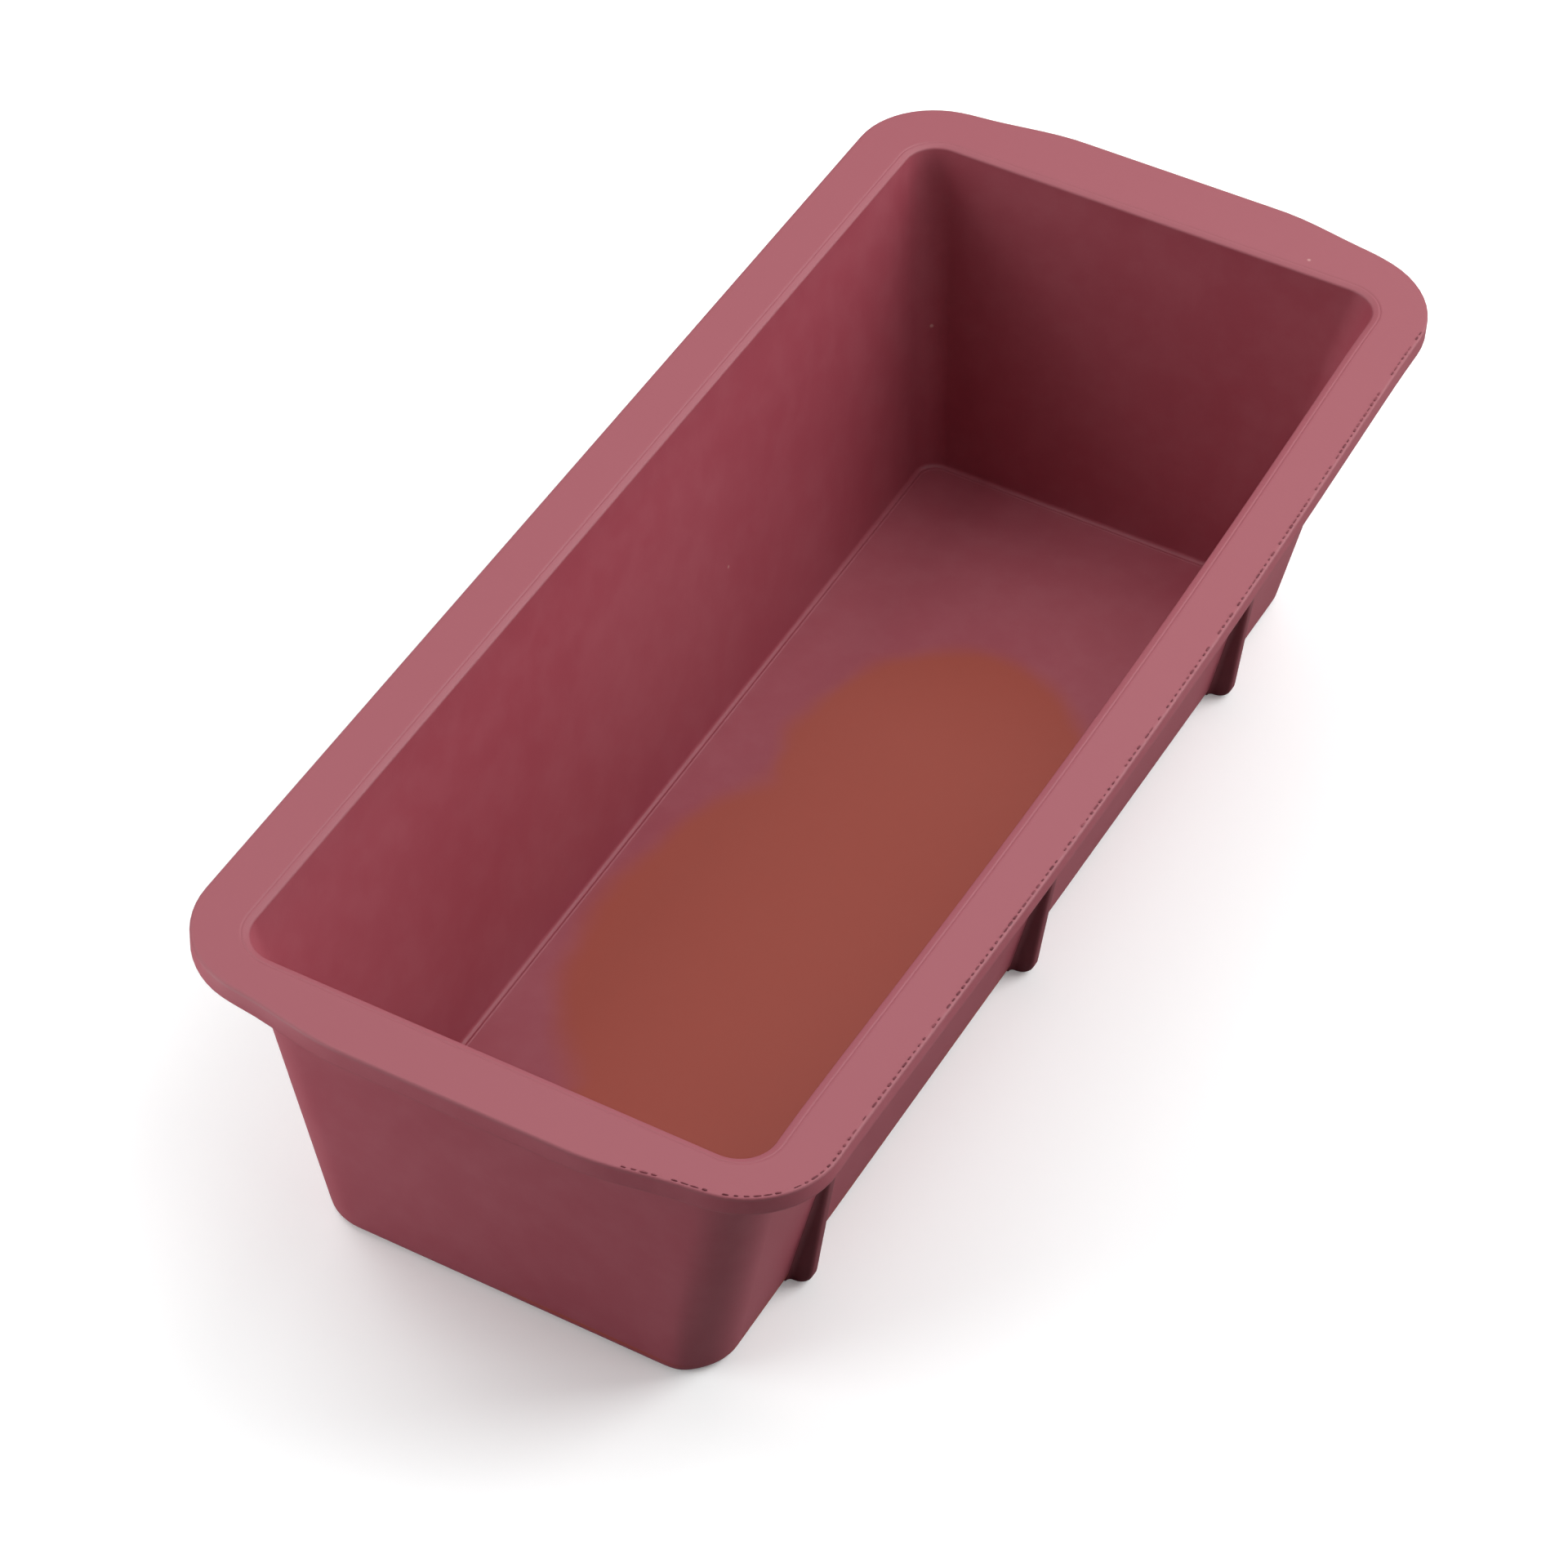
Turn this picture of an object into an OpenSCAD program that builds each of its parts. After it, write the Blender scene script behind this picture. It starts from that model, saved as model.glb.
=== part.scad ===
// Loaf mould for soap, made as one silicone moulding: a long open trough with a
// flat flange round its mouth, a wider grip at each end and foot ribs outside the
// long walls. The one moulding is divided here into its regions, which meet face
// to face.
// The origin is the middle of the underside, on the table. +X runs along the
// trough to its back end, +Y to its left side and +Z up. Sizes are in mm.

/* [Trough] */
// Length of the underside
base_length = 225.6; // [160:0.2:320]
// Width of the underside
base_width = 77.2; // [60:0.2:120]
// Height from the table to the top of the flange
total_height = 66.6; // [50:0.2:90]
// Thickness of the floor
floor_thickness = 2.4; // [1.6:0.1:5]
// Thickness of the walls at their top, measured level
wall_thickness = 2.5; // [1.5:0.1:4]
// Thickness of the walls at their foot, measured level
foot_thickness = 5; // [2:0.1:6]
// Outward lean of every wall's outside, in degrees
draft_angle = 9.1; // [3:0.1:12]
// Radius of the trough's upright corners, outside
corner_radius = 9.5; // [9:0.1:16]
// Radius of the cove where the walls meet the floor
cove_radius = 0.8; // [0.5:0.1:2]

/* [Flange] */
// Thickness of the flange
flange_thickness = 3.9; // [2:0.1:6]
// Width of the flange along the long sides, from the mouth outwards
side_flange = 10.4; // [7:0.1:20]
// Width of the flange at the outer corners of each end
end_flange = 9.7; // [8:0.1:20]
// How much further each end grip reaches in its middle
grip_reach = 2.8; // [0:0.1:12]
// Straight middle of each end grip, as a share of the grip's length
grip_flat = 0.6; // [0.1:0.05:0.9]
// Radius of the flange's outer corners
flange_radius = 16.5; // [10:0.5:20]

/* [Foot ribs] */
// Place of the outer ribs, as a share of half the underside's length
rib_spread = 0.73; // [0.3:0.01:0.75]
// Thickness of a rib
rib_thickness = 2.6; // [1.5:0.1:5]
// How far a rib stands out from the wall at the table
rib_depth = 4; // [2.5:0.1:6]
// Outward lean of a rib's outer edge, in degrees
rib_lean = 3.5; // [0:0.1:8]
// Radius of a rib's lower outer corner
rib_radius = 2.4; // [0.5:0.1:2.4]

/* [Quality] */
// Flat facets in each upright corner of the trough
corner_facets = 16; // [8:1:32]
// Flat facets in the cove
cove_facets = 6; // [3:1:12]

/* [Hidden] */
$fn = 64;

silicone = [0.62, 0.30, 0.33];
silicone_dark = [0.50, 0.24, 0.28];
silicone_light = [0.70, 0.42, 0.44];

lean = tan(draft_angle);
wall_foot_z = floor_thickness;
wall_top_z = total_height - flange_thickness;
wall_height = wall_top_z - wall_foot_z;
wall_spread = lean * wall_height;
half_base_length = base_length / 2;
half_base_width = base_width / 2;

// The mouth is the inner outline of the walls at their top
mouth_radius = corner_radius - wall_thickness;
half_mouth_length = half_base_length + wall_spread - wall_thickness;
half_mouth_width = half_base_width + wall_spread - wall_thickness;

// The flange's outer outline, without its grips
half_flange_length = half_mouth_length + end_flange;
half_flange_width = half_mouth_width + side_flange;

// The flange's corners are divided off where both of its outlines are straight
flange_cut_x = min(half_mouth_length - mouth_radius, half_flange_length - flange_radius);
flange_cut_y = min(half_mouth_width - mouth_radius, half_flange_width - flange_radius);

// Centre of the trough's corner arc at the foot of the walls
corner_x = half_base_length - corner_radius;
corner_y = half_base_width - corner_radius;

// A rib ends where its outer edge runs into the leaning wall, or under the flange
rib_slope = tan(rib_lean);
rib_runs_out = rib_depth + rib_slope * wall_top_z < wall_spread;
rib_top_z = rib_runs_out
    ? (rib_depth + lean * wall_foot_z) / (lean - rib_slope)
    : wall_top_z;

// Room for tools that cut through
margin = 1;

// Outward lean of a wall's inside, and the length from the wall's foot to the end
// of the cove, along floor or wall
inner_angle = atan((wall_spread + foot_thickness - wall_thickness) / wall_height);
cove_reach = cove_radius * tan((90 - inner_angle) / 2);

// Points of an arc about a centre, from one angle to another
function arc(centre, radius, from, to, steps) = [
    for (i = [0 : steps])
        let (angle = from + (to - from) * i / steps)
        centre + radius * [cos(angle), sin(angle)]
];

// Section of a wall: [distance outwards from the base outline, height]
function wall_section() = concat(
    [[0, wall_foot_z], [wall_spread, wall_top_z], [wall_spread - wall_thickness, wall_top_z]],
    [for (p = arc(
        [-foot_thickness - cove_reach, wall_foot_z + cove_radius],
        cove_radius, -inner_angle, -90, cove_facets)) p]
);

// A point of the wall section carried round a corner of constant radius
function corner_point(p, angle) =
    let (shift = lean * (p[1] - wall_foot_z))
    let (reach = corner_radius + p[0] - shift)
    [
        corner_x + shift + reach * cos(angle),
        corner_y + shift + reach * sin(angle),
        p[1]
    ];

module rounded_rectangle(half_length, half_width, radius) {
    square([2 * (half_length - radius), 2 * half_width], center = true);
    square([2 * half_length, 2 * (half_width - radius)], center = true);
    for (x = [-1, 1], y = [-1, 1])
        translate([x * (half_length - radius), y * (half_width - radius)])
            circle(r = radius);
}

// A straight wall that faces +Y, with its foot half_width from the middle and its
// ends slanted to meet the corners
module straight_wall(half_length, half_width) {
    foot = half_length - corner_radius;
    top = foot + wall_spread;
    intersection() {
        rotate([90, 0, 90])
            translate([half_width, 0, -top - margin])
                linear_extrude(2 * (top + margin))
                    polygon(wall_section());
        rotate([90, 0, 0])
            translate([0, 0, -half_width - wall_spread - margin])
                linear_extrude(2 * (half_width + wall_spread))
                    polygon([
                        [-foot, wall_foot_z],
                        [foot, wall_foot_z],
                        [top, wall_top_z],
                        [-top, wall_top_z]
                    ]);
    }
}

// The trough's corner towards +X and +Y
module wall_corner() {
    section = wall_section();
    count = len(section);
    rings = corner_facets;
    points = [
        for (j = [0 : rings], p = section)
            corner_point(p, 90 * j / rings)
    ];
    sides = [
        for (j = [rings - 1 : -1 : 0], i = [count - 1 : -1 : 0])
            [
                j * count + i,
                j * count + (i + 1) % count,
                (j + 1) * count + (i + 1) % count,
                (j + 1) * count + i
            ]
    ];
    first_end = [for (i = [count - 1 : -1 : 0]) i];
    last_end = [for (i = [0 : count - 1]) rings * count + i];
    polyhedron(points, concat(sides, [first_end, last_end]), convexity = 4);
}

// Gives a plan of the flange its thickness, at the top of the walls
module flange_plate() {
    color(silicone_light)
        translate([0, 0, wall_top_z])
            linear_extrude(flange_thickness)
                children();
}

// A foot rib on the +Y wall at X = 0, standing on the table
module foot_rib() {
    low_edge = rib_depth + rib_slope * rib_radius;
    translate([-rib_thickness / 2, half_base_width, 0])
        rotate([90, 0, 90])
            linear_extrude(rib_thickness)
                polygon(concat(
                    [[0, wall_foot_z], [0, 0]],
                    arc([low_edge - rib_radius, rib_radius], rib_radius, -90, 0, 8),
                    [[rib_depth + rib_slope * rib_top_z, rib_top_z]],
                    rib_runs_out ? [] : [[wall_spread, rib_top_z]]
                ));
}

module floor_panel() {
    color(silicone_dark)
        linear_extrude(floor_thickness)
            rounded_rectangle(half_base_length, half_base_width, corner_radius);
}

module long_wall(side) {
    color(silicone)
        mirror([0, side < 0 ? 1 : 0, 0])
            straight_wall(half_base_length, half_base_width);
}

module end_wall(end) {
    color(silicone)
        rotate([0, 0, end > 0 ? -90 : 90])
            straight_wall(half_base_width, half_base_length);
}

module corner(end, side) {
    color(silicone_dark)
        mirror([end < 0 ? 1 : 0, 0, 0])
            mirror([0, side < 0 ? 1 : 0, 0])
                wall_corner();
}

module long_flange(side) {
    low_y = side > 0 ? half_mouth_width : -half_flange_width;
    flange_plate()
        translate([-flange_cut_x, low_y])
            square([2 * flange_cut_x, side_flange]);
}

module grip(end) {
    tip = half_flange_length + grip_reach;
    flat = grip_flat * flange_cut_y;
    flange_plate()
        polygon([
            for (p = [
                [half_mouth_length, -flange_cut_y],
                [half_flange_length, -flange_cut_y],
                [tip, -flat],
                [tip, flat],
                [half_flange_length, flange_cut_y],
                [half_mouth_length, flange_cut_y]
            ])
                end * p
        ]);
}

module flange_corner(end, side) {
    reach = half_flange_length + half_flange_width;
    flange_plate()
        mirror([end < 0 ? 1 : 0, 0])
            mirror([0, side < 0 ? 1 : 0])
                intersection() {
                    difference() {
                        rounded_rectangle(half_flange_length, half_flange_width, flange_radius);
                        rounded_rectangle(half_mouth_length, half_mouth_width, mouth_radius);
                    }
                    translate([flange_cut_x, flange_cut_y])
                        square(reach);
                }
}

module rib(side, step) {
    color(silicone_dark)
        translate([step * rib_spread * half_base_length, 0, 0])
            mirror([0, side < 0 ? 1 : 0, 0])
                foot_rib();
}

floor_panel();
long_wall(1);  // long_wall_left
long_wall(-1);  // long_wall_right
end_wall(-1);  // end_wall_front
end_wall(1);  // end_wall_back
corner(-1, 1);  // wall_corner_front_left
corner(-1, -1);  // wall_corner_front_right
corner(1, 1);  // wall_corner_back_left
corner(1, -1);  // wall_corner_back_right
long_flange(1);  // flange_left
long_flange(-1);  // flange_right
grip(-1);  // grip_front
grip(1);  // grip_back
flange_corner(-1, 1);  // flange_corner_front_left
flange_corner(-1, -1);  // flange_corner_front_right
flange_corner(1, 1);  // flange_corner_back_left
flange_corner(1, -1);  // flange_corner_back_right
rib(1, -1);  // foot_rib_left_front
rib(1, 0);  // foot_rib_left_middle
rib(1, 1);  // foot_rib_left_back
rib(-1, -1);  // foot_rib_right_front
rib(-1, 0);  // foot_rib_right_middle
rib(-1, 1);  // foot_rib_right_back
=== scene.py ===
import logging
import math
from collections.abc import Sequence
from dataclasses import dataclass
from enum import Enum
from typing import ClassVar

import bmesh
import bpy
from mathutils import Matrix, Vector


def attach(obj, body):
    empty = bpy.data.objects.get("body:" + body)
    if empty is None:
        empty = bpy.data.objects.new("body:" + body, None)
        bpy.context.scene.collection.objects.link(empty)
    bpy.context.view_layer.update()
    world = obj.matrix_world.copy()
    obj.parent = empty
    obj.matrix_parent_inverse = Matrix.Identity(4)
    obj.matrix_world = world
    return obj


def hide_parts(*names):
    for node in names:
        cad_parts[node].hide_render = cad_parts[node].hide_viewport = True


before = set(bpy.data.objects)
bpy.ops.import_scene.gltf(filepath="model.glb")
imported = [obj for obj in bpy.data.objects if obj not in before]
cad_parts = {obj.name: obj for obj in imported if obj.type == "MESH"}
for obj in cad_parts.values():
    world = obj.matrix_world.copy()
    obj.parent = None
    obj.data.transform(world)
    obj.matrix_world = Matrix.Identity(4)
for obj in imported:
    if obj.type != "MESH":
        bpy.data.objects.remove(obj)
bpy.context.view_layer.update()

MM = 0.001
LOG = logging.getLogger("loaf_mould")

FAR_OUTSIDE = -4.0
HELPER_ATTRIBUTES = {"facing", "corner_radius", "grip", "rounding", "centre"}

Colour = tuple[float, float, float]
Value = bpy.types.NodeSocket | float | int | str | Sequence[float] | bpy.types.ID


class Side(Enum):
    """A long side of the mould, with its direction along Y."""

    LEFT = 1
    RIGHT = -1


class TreeKind(Enum):
    """What a node tree is made for."""

    GEOMETRY = "GeometryNodeTree"
    SHADER = "ShaderNodeTree"


# Node trees


class Wiring:
    """Adds nodes to one tree and joins them up."""

    def __init__(self, tree: bpy.types.NodeTree) -> None:
        """Keeps the tree that the nodes go into."""
        self.tree = tree

    def put(self, socket: bpy.types.NodeSocket, value: Value) -> None:
        """Joins a value to an input, or sets the input to it.

        Args:
            socket: the input.
            value: an output socket, or a plain value.
        """
        if isinstance(value, bpy.types.NodeSocket):
            self.tree.links.new(value, socket)
        else:
            socket.default_value = value

    def add(self, kind: str, inputs: dict[str | int, Value] | None = None, **settings) -> bpy.types.Node:
        """Adds one node.

        Args:
            kind: the node's type.
            inputs: values for its inputs, by name or place.
            **settings: the node's own properties.

        Returns:
            The new node.
        """
        node = self.tree.nodes.new(kind)
        for name, value in settings.items():
            setattr(node, name, value)
        for key, value in (inputs or {}).items():
            self.put(node.inputs[key], value)
        return node

    def maths(self, operation: str, *values: Value) -> bpy.types.NodeSocket:
        """Adds a Math node with these inputs, in order, and gives its result."""
        return self.add("ShaderNodeMath", dict(enumerate(values)), operation=operation).outputs[0]

    def vector(self, operation: str, *values: Value) -> bpy.types.NodeSocket:
        """Adds a Vector Math node with these inputs, in order, and gives its vector result."""
        return self.add("ShaderNodeVectorMath", dict(enumerate(values)), operation=operation).outputs[0]

    def combine(self, x: Value, y: Value, z: Value) -> bpy.types.NodeSocket:
        """Makes a vector from its three numbers."""
        return self.add("ShaderNodeCombineXYZ", {0: x, 1: y, 2: z}).outputs[0]

    def split(self, vector: Value) -> tuple[bpy.types.NodeSocket, ...]:
        """Takes a vector apart into its three numbers."""
        return tuple(self.add("ShaderNodeSeparateXYZ", {0: vector}).outputs)

    def ramp(self, value: Value, low: Value, high: Value, start: Value = 0.0, end: Value = 1.0,
             smooth: bool = True) -> bpy.types.NodeSocket:
        """Maps a value from one range to another and stops at its ends.

        Args:
            value: the value.
            low: the value that gives start.
            high: the value that gives end.
            start: the result at low.
            end: the result at high.
            smooth: True for an S-shaped run between the two.

        Returns:
            The mapped value.
        """
        kind = "SMOOTHSTEP" if smooth else "LINEAR"
        inputs = {"Value": value, "From Min": low, "From Max": high, "To Min": start, "To Max": end}
        return self.add("ShaderNodeMapRange", inputs, interpolation_type=kind).outputs[0]

    def noise(self, vector: Value, scale: float, detail: float = 2.0, roughness: float = 0.5
              ) -> bpy.types.NodeSocket:
        """Adds a noise pattern from 0 to 1, with its scale per metre."""
        inputs = {"Vector": vector, "Scale": scale, "Detail": detail, "Roughness": roughness}
        return self.add("ShaderNodeTexNoise", inputs, noise_dimensions="3D").outputs[0]

    def mix(self, factor: Value, first: Value, second: Value) -> bpy.types.NodeSocket:
        """Mixes two colours.

        Args:
            factor: the share of the second colour.
            first: the first colour.
            second: the second colour.

        Returns:
            The mixed colour.
        """
        node = self.add("ShaderNodeMix", data_type="RGBA", blend_type="MIX")
        for place, value in ((0, factor), (6, first), (7, second)):
            self.put(node.inputs[place], value)
        return node.outputs[2]


def new_group(name: str, kind: TreeKind, inputs: dict[str, str], outputs: dict[str, str]
              ) -> tuple[Wiring, bpy.types.Node, bpy.types.Node]:
    """Starts a node group with named inputs and outputs.

    Args:
        name: the group's name.
        kind: what the group is for.
        inputs: each input's name and socket type.
        outputs: each output's name and socket type.

    Returns:
        The wiring, the input node and the output node.
    """
    tree = bpy.data.node_groups.new(name, kind.value)
    for label, socket_type in inputs.items():
        tree.interface.new_socket(label, in_out="INPUT", socket_type=socket_type)
    for label, socket_type in outputs.items():
        tree.interface.new_socket(label, in_out="OUTPUT", socket_type=socket_type)
    wiring = Wiring(tree)
    return wiring, wiring.add("NodeGroupInput"), wiring.add("NodeGroupOutput")


def new_material(name: str) -> tuple[bpy.types.Material, Wiring]:
    """Starts a material with no nodes in it.

    Args:
        name: the material's name.

    Returns:
        The material and its wiring.
    """
    material = bpy.data.materials.new(name)
    material.use_nodes = True
    material.node_tree.nodes.clear()
    return material, Wiring(material.node_tree)


NUMBER = "NodeSocketFloat"
VECTOR = "NodeSocketVector"
SHAPE = "NodeSocketGeometry"
OBJECT = "NodeSocketObject"
FINISH = "NodeSocketMaterial"
COUNT = "NodeSocketInt"


# Mesh helpers


def end_tree(w: Wiring, end: bpy.types.Node, shape: bpy.types.NodeSocket, given: bpy.types.NodeOutputs
             ) -> None:
    """Makes a tree's shape real, gives it its finish and puts it out.

    Args:
        w: the tree's wiring.
        end: the tree's output node.
        shape: the shape.
        given: the tree's inputs, which hold the finish.
    """
    real = w.add("GeometryNodeRealizeInstances", {"Geometry": shape})
    done = w.add("GeometryNodeSetMaterial", {"Geometry": real.outputs[0], "Material": given["Finish"]})
    w.put(end.inputs[0], done.outputs[0])


def into_scene(name: str, data: bpy.types.ID) -> bpy.types.Object:
    """Puts a mesh, light or camera into the scene.

    Args:
        name: the object's name.
        data: what the object shows.

    Returns:
        The object.
    """
    item = bpy.data.objects.new(name, data)
    bpy.context.scene.collection.objects.link(item)
    return item


def point_outwards(item: bpy.types.Object) -> None:
    """Turns a closed piece's faces outwards.

    Args:
        item: the piece.
    """
    work = bmesh.new()
    work.from_mesh(item.data)
    bmesh.ops.recalc_face_normals(work, faces=work.faces)
    work.to_mesh(item.data)
    work.free()


def chain(name: str, points: Sequence[Vector], values: dict[str, Sequence] | None = None
          ) -> bpy.types.Object:
    """Makes a row of joined points that a tree reads, with values kept on them.

    Args:
        name: the object's name.
        points: the points, in metres.
        values: each attribute's name and its numbers or vectors, one for a point.

    Returns:
        The object.
    """
    mesh = bpy.data.meshes.new(name)
    edges = [(i, i + 1) for i in range(len(points) - 1)]
    mesh.from_pydata([tuple(p) for p in points], edges, [])
    for label, numbers in (values or {}).items():
        is_vector = isinstance(numbers[0], Vector)
        layer = mesh.attributes.new(label, "FLOAT_VECTOR" if is_vector else "FLOAT", "POINT")
        for item, number in zip(layer.data, numbers):
            if is_vector:
                item.vector = number
            else:
                item.value = number
    return into_scene(name, mesh)


def stack(name: str, rows: Sequence[Sequence[Vector]]) -> bpy.types.Object:
    """Makes a closed form from rows of points, one above the other, with a face at each end.

    Args:
        name: the form's name.
        rows: the rows, each with the same number of points, in metres.

    Returns:
        The form.
    """
    count = len(rows[0])
    faces = []
    for r in range(len(rows) - 1):
        for i in range(count):
            j = (i + 1) % count
            faces.append((r * count + i, r * count + j, (r + 1) * count + j, (r + 1) * count + i))
    faces.append(tuple(reversed(range(count))))
    faces.append(tuple(range((len(rows) - 1) * count, len(rows) * count)))
    mesh = bpy.data.meshes.new(name)
    mesh.from_pydata([tuple(p) for row in rows for p in row], [], faces)
    form = into_scene(name, mesh)
    point_outwards(form)
    return form


def grow(item: bpy.types.Object, tree: bpy.types.NodeTree, values: dict[str, Value]) -> bpy.types.Object:
    """Runs a geometry tree on an object and keeps the result as a plain mesh.

    Args:
        item: the object that starts the tree.
        tree: the geometry tree.
        values: the tree's inputs, by name.

    Returns:
        The same object, with the finished mesh and no modifier.
    """
    modifier = item.modifiers.new(tree.name, "NODES")
    modifier.node_group = tree
    for socket in tree.interface.items_tree:
        if socket.in_out == "INPUT" and socket.name in values:
            modifier[socket.identifier] = values[socket.name]
    graph = bpy.context.evaluated_depsgraph_get()
    graph.update()
    mesh = bpy.data.meshes.new_from_object(item.evaluated_get(graph), depsgraph=graph)
    item.modifiers.clear()
    old = item.data
    item.data = mesh
    bpy.data.meshes.remove(old)
    mesh.name = item.name
    for layer in [a for a in mesh.attributes if a.name in HELPER_ATTRIBUTES]:
        mesh.attributes.remove(layer)
    return item


def discard(*items: bpy.types.Object) -> None:
    """Removes helper objects and their meshes.

    Args:
        *items: the helpers.
    """
    for item in items:
        mesh = item.data
        bpy.data.objects.remove(item)
        bpy.data.meshes.remove(mesh)


# Finishes


@dataclass(frozen=True)
class HighlightDrop:
    """One soft-edged oval of the painted orange-brown highlight on the floor, in metres."""

    x: float
    y: float
    half_length: float
    half_width: float


@dataclass(frozen=True)
class SiliconeFinish:
    """Matt coloured silicone with a faint bloom, painted sheen paling the rim top, a painted floor
    highlight, fine grain and stray specks. In metres.
    """

    name: str
    colour: Colour = (0.300, 0.055, 0.078)
    bloom: Colour = (0.340, 0.085, 0.110)
    # Colour of the painted orange-brown highlight on the floor.
    warm_highlight: Colour = (0.340, 0.064, 0.040)
    # Paler pink for the rim's top faces: painted sheen.
    rim: Colour = (0.300, 0.084, 0.104)
    dust: Colour = (0.480, 0.250, 0.240)
    roughness: float = 0.50
    roughness_spread: float = 0.06
    specular: float = 0.50
    refraction: float = 1.41
    grain_depth: float = 0.00003
    grain_strength: float = 0.35
    pattern_scale: float = 1.0
    floor_height: float = 0.0024
    rim_height: float = 0.0664
    rim_fade: float = 0.0007
    drift_scale: float = 45.0
    drift_reach: float = 0.004
    # Ovals of the painted floor highlight; with none, neither it nor the rim sheen is painted.
    highlight_drops: tuple[HighlightDrop, ...] = ()

    def build(self, shared: "SharedPatterns") -> bpy.types.Material:
        """Makes the material.

        Args:
            shared: the pattern groups.

        Returns:
            The material.
        """
        material, w = new_material(self.name)
        where = w.add("ShaderNodeTexCoord").outputs["Object"]
        mottle = w.add("ShaderNodeGroup", node_tree=shared.mottle)
        grain = w.add("ShaderNodeGroup", node_tree=shared.grain)
        specks = w.add("ShaderNodeGroup", node_tree=shared.specks)
        scale = (self.pattern_scale,) * 3
        for node in (mottle, grain, specks):
            w.put(node.inputs["Position"], w.vector("MULTIPLY", where, scale))
        colour = w.mix(mottle.outputs["Mask"], (*self.colour, 1), (*self.bloom, 1))
        if self.highlight_drops:
            # Painted sheen: the top faces of the rim fade to the paler rim colour.
            rim_sheen_mask = w.ramp(w.split(where)[2], self.rim_height - self.rim_fade, self.rim_height)
            colour = w.mix(rim_sheen_mask, colour, (*self.rim, 1))
            # Painted highlight: an orange-brown pool of light on the floor.
            colour = w.mix(self._painted_highlight(w, where), colour, (*self.warm_highlight, 1))
        colour = w.mix(specks.outputs["Mask"], colour, (*self.dust, 1))
        rough = w.maths("MULTIPLY_ADD", mottle.outputs["Mask"], self.roughness_spread,
                        self.roughness - self.roughness_spread / 2)
        bump = w.add("ShaderNodeBump", {"Height": grain.outputs["Height"], "Strength": self.grain_strength,
                                        "Distance": self.grain_depth})
        shader = w.add("ShaderNodeBsdfPrincipled", {
            "Base Color": colour, "Roughness": rough, "Normal": bump.outputs[0],
            "Specular IOR Level": self.specular, "IOR": self.refraction})
        w.add("ShaderNodeOutputMaterial", {"Surface": shader.outputs[0]})
        return material

    def _painted_highlight(self, w: Wiring, where: bpy.types.NodeSocket) -> bpy.types.NodeSocket:
        """Draws the painted orange-brown highlight that lies on the floor.

        Args:
            w: the material's wiring.
            where: the place on the object.

        Returns:
            The painted highlight's mask.
        """
        cloud = w.add("ShaderNodeTexNoise", {"Vector": where, "Scale": self.drift_scale, "Detail": 2.0})
        reach = self.drift_reach
        drift = w.vector("MULTIPLY_ADD", cloud.outputs["Color"], (2 * reach, 2 * reach, 0.0),
                         (-reach, -reach, 0.0))
        x, y, _ = w.split(w.vector("ADD", where, drift))
        height = w.split(where)[2]
        field: Value = FAR_OUTSIDE
        for drop in self.highlight_drops:
            across = w.maths("DIVIDE", w.maths("SUBTRACT", x, drop.x), drop.half_length)
            along = w.maths("DIVIDE", w.maths("SUBTRACT", y, drop.y), drop.half_width)
            inside = w.maths("SUBTRACT", 1.0, w.maths("ADD", w.maths("POWER", across, 2.0),
                                                      w.maths("POWER", along, 2.0)))
            field = w.maths("SMOOTH_MAX", field, inside, 0.15)
        edge = w.ramp(field, -0.12, 0.22)
        below = w.ramp(height, self.floor_height + 0.0003, self.floor_height, smooth=False)
        above = w.ramp(height, self.floor_height - 0.0005, self.floor_height - 0.0003, smooth=False)
        return w.maths("MULTIPLY", edge, w.maths("MULTIPLY", below, above))


class SharedPatterns:
    """The pattern groups that every silicone material uses."""

    def __init__(self) -> None:
        """Builds the three groups."""
        self.mottle = self._mottle()
        self.grain = self._grain()
        self.specks = self._specks()

    @staticmethod
    def _mottle() -> bpy.types.NodeTree:
        """Makes broad, faint cloudiness.

        Returns:
            The group.
        """
        w, start, end = new_group("mottle", TreeKind.SHADER, {"Position": VECTOR}, {"Mask": NUMBER})
        broad = w.ramp(w.noise(start.outputs[0], 18.0, 3.0), 0.35, 0.70)
        fine = w.ramp(w.noise(start.outputs[0], 160.0, 4.0, 0.6), 0.35, 0.70)
        w.put(end.inputs[0], w.maths("MULTIPLY_ADD", fine, 0.35, w.maths("MULTIPLY", broad, 0.5)))
        return w.tree

    @staticmethod
    def _grain() -> bpy.types.NodeTree:
        """Makes the fine, matt grain left by the mould tool.

        Returns:
            The group.
        """
        w, start, end = new_group("grain", TreeKind.SHADER, {"Position": VECTOR}, {"Height": NUMBER})
        fine = w.noise(start.outputs[0], 2600.0, 2.0)
        soft = w.noise(start.outputs[0], 420.0, 2.0)
        w.put(end.inputs[0], w.maths("MULTIPLY_ADD", soft, 0.6, fine))
        return w.tree

    @staticmethod
    def _specks() -> bpy.types.NodeTree:
        """Makes a few pale dust specks.

        Returns:
            The group.
        """
        w, start, end = new_group("specks", TreeKind.SHADER, {"Position": VECTOR}, {"Mask": NUMBER})
        cells = w.add("ShaderNodeTexVoronoi", {
            "Vector": start.outputs[0], "Scale": 90.0, "Randomness": 1.0})
        near = w.ramp(cells.outputs["Distance"], 0.045, 0.015)
        chosen = w.ramp(w.split(cells.outputs["Color"])[0], 0.90, 0.92, smooth=False)
        w.put(end.inputs[0], w.maths("MULTIPLY", near, chosen))
        return w.tree


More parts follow.
